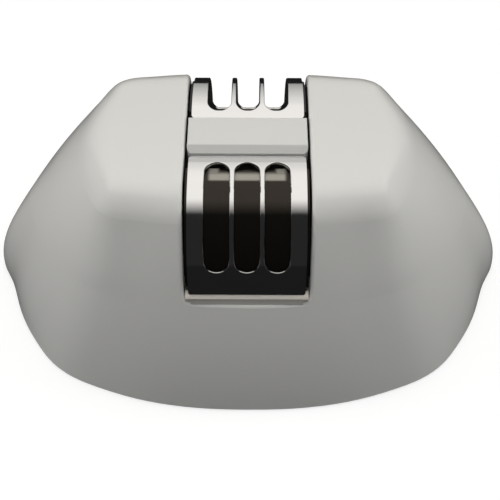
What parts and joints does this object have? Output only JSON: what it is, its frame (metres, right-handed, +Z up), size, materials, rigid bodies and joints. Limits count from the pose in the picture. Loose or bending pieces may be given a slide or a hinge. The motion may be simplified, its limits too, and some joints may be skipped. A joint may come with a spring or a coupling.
{
  "type": "ipl hair remover",
  "caption": "Palm-sized white dome with a crest light window under a lift-off cap, between curved slotted chrome guards, with rear buttons, a DC inlet and a cooling fan.",
  "frame": {"origin": "on the table under the middle of the dome, at the underside of the rubber feet", "axes": "+Z up, +X across the crest to the right as seen from the front, -Y the front"},
  "size_m": [0.1314, 0.0882, 0.0515],
  "materials": {
    "shell_white": "glossy moulded white",
    "cap_white": "satin moulded white",
    "ledge_white": "satin moulded warm white",
    "chrome_guard": "polished",
    "lens_black": "polished smoked black",
    "inner_black": "moulded black",
    "cover_grey": "fine texture",
    "foot_rubber": "matte",
    "screw_steel": "plain",
    "button_white": "satin",
    "button_chrome": "polished",
    "light_clear": "frosted",
    "window_glass": "polished",
    "filter_glass": "amber",
    "lamp_glass": "polished",
    "reflector_metal": "mirror bright",
    "ceramic_white": "matte",
    "heat_metal": "extruded",
    "electrode_metal": "plain",
    "spring_steel": "drawn wire",
    "head_grey": "satin",
    "board_green": "solder mask",
    "component_black": "moulded",
    "capacitor_sleeve": "shrink sleeve",
    "coil_copper": "enamelled copper wire",
    "led_white": "plain"
  },
  "bodies": {
    "housing": {"outer_shell": "shell_white", "base_cover": "cover_grey", "base_screws": "screw_steel", "rubber_feet": "foot_rubber", "chassis": "inner_black", "heat_sink": "heat_metal", "lamp_housing": "inner_black", "reflector": "reflector_metal", "flash_lamp_tube": "lamp_glass", "lamp_electrodes": "electrode_metal", "lamp_end_holders": "ceramic_white", "optical_filter": "filter_glass", "contact_switch": "component_black", "contact_springs": "spring_steel", "front_guard": "chrome_guard", "rear_guard": "chrome_guard", "front_ledge": "ledge_white", "rear_ledge": "ledge_white", "ledge_screws": "screw_steel", "housing_screws": "screw_steel", "front_lens": "lens_black", "lens_carrier": "inner_black", "skin_sensor": "component_black", "rear_duct": "inner_black", "fan_frame": "component_black", "fan_shaft": "screw_steel", "fan_screws": "screw_steel", "main_board": "board_green", "board_screws": "screw_steel", "main_capacitor": "capacitor_sleeve", "trigger_transformer": "coil_copper", "board_components": "component_black", "dc_inlet": "component_black", "indicator_light_pipe": "light_clear", "button_board": "board_green", "tact_switches": "component_black", "status_leds": "led_white"},
    "contact_head": {"head_frame": "head_grey", "quartz_window": "window_glass"},
    "cap": {"window_cap": "cap_white"},
    "flash_trigger": {"flash_button": "button_chrome"},
    "power_key": {"power_button": "button_white"},
    "fan": {"fan_rotor": "inner_black"}
  },
  "joints": [
    {"name": "contact_head_press", "type": "slide", "parent": "housing", "child": "contact_head", "axis": [0, 0, -1], "range_m": [0, 0.0015], "stiffness_N_per_m": 400, "deforming": ["contact_springs"]},
    {"name": "cap_lift", "type": "slide", "parent": "contact_head", "child": "cap", "axis": [0, 0, 1], "range_m": [0, 0.02]},
    {"name": "flash_press", "type": "slide", "parent": "housing", "child": "flash_trigger", "axis": [0, -0.9275, -0.3738], "range_m": [0, 0.001], "stiffness_N_per_m": 1500},
    {"name": "power_press", "type": "slide", "parent": "housing", "child": "power_key", "axis": [-0.1409, -0.9183, -0.37], "range_m": [0, 0.0008], "stiffness_N_per_m": 1500},
    {"name": "fan_spin", "type": "hinge", "parent": "housing", "child": "fan", "pos_m": [0.0335, 0, 0], "axis": [0, 0, 1], "continuous": true}
  ]
}
